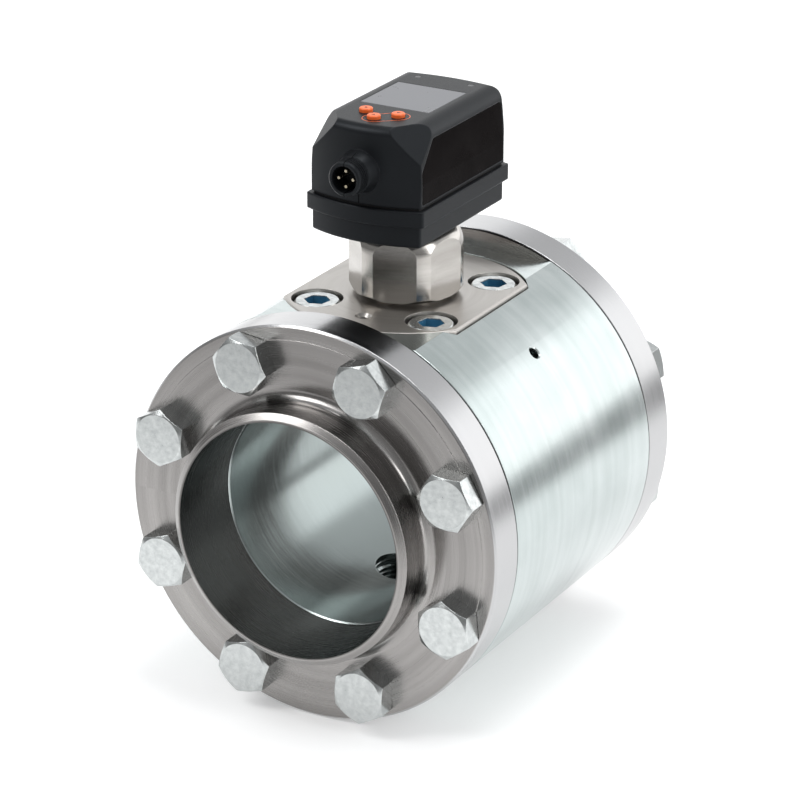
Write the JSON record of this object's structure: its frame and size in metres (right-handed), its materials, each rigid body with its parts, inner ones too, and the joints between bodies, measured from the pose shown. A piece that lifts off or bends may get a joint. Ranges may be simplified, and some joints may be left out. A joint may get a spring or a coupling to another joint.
{
  "type": "compressed air flow meter",
  "caption": "In-line air flow meter: round steel body between bolted weld-neck pipe flanges, with a swivelling display head, push buttons and a plug connector.",
  "frame": {"origin": "centre of the inlet's weld end, on the pipe axis", "axes": "+Y along the pipe with the air flow, +Z from the pipe axis up to the sensor head, +X to the right when looking along the flow"},
  "size_m": [0.14, 0.1589, 0.2011],
  "materials": {
    "machined_steel": "bare turned steel, satin",
    "zinc_body": "turned steel, bright zinc plate, pale blue-green",
    "zinc_fastener": "bright zinc plate",
    "nickel_plate": "turned steel, nickel plate, satin",
    "nickel_nut": "nickel plate, fine turned",
    "stainless": "stainless steel, polished",
    "seal_rubber": "black nitrile rubber",
    "probe_insulator": "pale heat-proof plastic",
    "housing_plastic": "charcoal moulded plastic, fine spark texture",
    "panel_gloss": "black film, high gloss",
    "window_plastic": "grey tinted clear cover, gloss",
    "display_black": "black moulded plastic",
    "circuit_board": "green solder resist",
    "light_guide": "milky clear plastic",
    "connector_black": "black insulating plastic",
    "gold_contact": "gold flash on brass",
    "button_orange": "soft orange plastic"
  },
  "bodies": {
    "meter": {"meter_body": "zinc_body", "inlet_flange": "machined_steel", "outlet_flange": "machined_steel", "inlet_bolts": "zinc_fastener", "outlet_bolts": "zinc_fastener", "inlet_seal": "seal_rubber", "outlet_seal": "seal_rubber", "sensor_plate": "nickel_plate", "plate_screws": "zinc_fastener", "plate_o_ring": "seal_rubber", "union_nut": "nickel_nut", "sensor_stem": "stainless", "stem_o_ring": "seal_rubber", "stem_clip": "stainless", "swivel_o_ring": "seal_rubber", "probe_tube": "stainless", "probe_tip": "probe_insulator", "sensing_elements": "stainless", "bottom_plug": "zinc_fastener", "plug_seal": "seal_rubber"},
    "head": {"upper_housing": "housing_plastic", "lower_housing": "housing_plastic", "housing_gasket": "seal_rubber", "housing_screws": "stainless", "side_panel_left": "panel_gloss", "side_panel_right": "panel_gloss", "display_window": "window_plastic", "display_module": "display_black", "display_board": "circuit_board", "key_switches": "display_black", "status_lights": "light_guide", "connector_insert": "connector_black", "connector_pins": "gold_contact", "sensor_board": "circuit_board", "power_board": "circuit_board", "board_headers": "display_black"},
    "enter_button": {"enter_button": "button_orange"},
    "up_button": {"up_button": "button_orange"},
    "down_button": {"down_button": "button_orange"}
  },
  "joints": [
    {"name": "head_swivel", "type": "hinge", "parent": "meter", "child": "head", "pos_m": [0, 0.07945, 0.09], "axis": [0, 0, 1], "range_deg": [-172.5, 172.5]},
    {"name": "enter_button_press", "type": "slide", "parent": "head", "child": "enter_button", "axis": [0, 0, -1], "range_m": [0, 0.0007], "stiffness_N_per_m": 1000},
    {"name": "up_button_press", "type": "slide", "parent": "head", "child": "up_button", "axis": [0, 0, -1], "range_m": [0, 0.0007], "stiffness_N_per_m": 1000},
    {"name": "down_button_press", "type": "slide", "parent": "head", "child": "down_button", "axis": [0, 0, -1], "range_m": [0, 0.0007], "stiffness_N_per_m": 1000}
  ]
}
